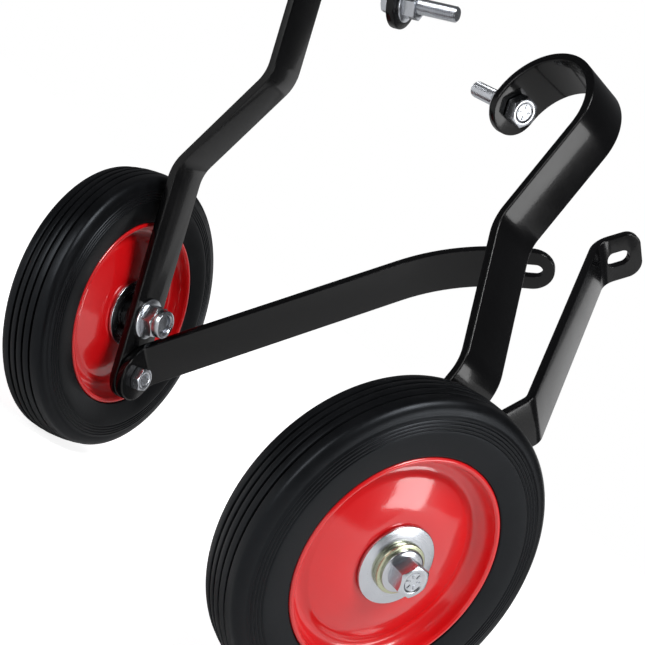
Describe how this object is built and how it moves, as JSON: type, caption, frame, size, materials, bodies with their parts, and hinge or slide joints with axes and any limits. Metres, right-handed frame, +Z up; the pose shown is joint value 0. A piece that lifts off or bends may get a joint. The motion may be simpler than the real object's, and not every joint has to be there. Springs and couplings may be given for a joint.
{
  "type": "motorcycle training wheels",
  "caption": "Pair of bolt-on training wheels: solid-tyred wheels on bent flat steel arms with a hook, a clamp bolt and a swinging slotted stay.",
  "frame": {"origin": "centre of the right unit's hook, where the motorcycle's frame tube lies", "axes": "+Y along the right hook's axis, +Z up along the right arm, +X outboard along the right axle"},
  "size_m": [0.3906, 0.296, 0.3767],
  "materials": {
    "tyre_rubber": "satin black solid rubber",
    "red_enamel": "gloss red enamel",
    "black_enamel": "semi-gloss black powder coat",
    "bright_zinc": "bright zinc plate",
    "yellow_zinc": "yellow-green zinc plate",
    "plain_steel": "oiled steel"
  },
  "bodies": {
    "arms": {"right_arm": "black_enamel", "right_axle_bolt": "bright_zinc", "right_axle_collar": "yellow_zinc", "right_axle_washers": "bright_zinc", "right_axle_sleeve": "plain_steel", "right_axle_spacer": "black_enamel", "right_axle_nut": "bright_zinc", "right_clamp_bolt": "bright_zinc", "right_clamp_nut": "bright_zinc", "right_pivot_bolt": "bright_zinc", "right_pivot_nut": "bright_zinc", "left_arm": "black_enamel", "left_axle_bolt": "bright_zinc", "left_axle_collar": "yellow_zinc", "left_axle_washers": "bright_zinc", "left_axle_sleeve": "plain_steel", "left_axle_spacer": "black_enamel", "left_axle_nut": "bright_zinc", "left_clamp_bolt": "bright_zinc", "left_clamp_nut": "bright_zinc", "left_pivot_bolt": "bright_zinc", "left_pivot_nut": "bright_zinc"},
    "right_wheel": {"right_tyre": "tyre_rubber", "right_rim_outer": "red_enamel", "right_rim_inner": "red_enamel", "right_hub_tube": "red_enamel", "right_hub_bushes": "plain_steel"},
    "left_wheel": {"left_tyre": "tyre_rubber", "left_rim_outer": "red_enamel", "left_rim_inner": "red_enamel", "left_hub_tube": "red_enamel", "left_hub_bushes": "plain_steel"},
    "right_stay": {"right_stay": "black_enamel"},
    "left_stay": {"left_stay": "black_enamel"}
  },
  "joints": [
    {"name": "right_wheel_spin", "type": "hinge", "parent": "arms", "child": "right_wheel", "pos_m": [0.10423, 0, -0.23447], "axis": [1, 0, 0], "continuous": true},
    {"name": "left_wheel_spin", "type": "hinge", "parent": "arms", "child": "left_wheel", "pos_m": [-0.19977, -0.016, -0.24447], "axis": [-0.8755, -0.3716, -0.309], "continuous": true},
    {"name": "right_stay_swing", "type": "hinge", "parent": "arms", "child": "right_stay", "pos_m": [0.07473, 0, -0.27247], "axis": [-1, 0, 0], "range_deg": [-18, 65]},
    {"name": "left_stay_swing", "type": "hinge", "parent": "arms", "child": "left_stay", "pos_m": [-0.16705, 0.00788, -0.27042], "axis": [-0.8755, -0.3716, -0.309], "range_deg": [-3, 50]}
  ]
}
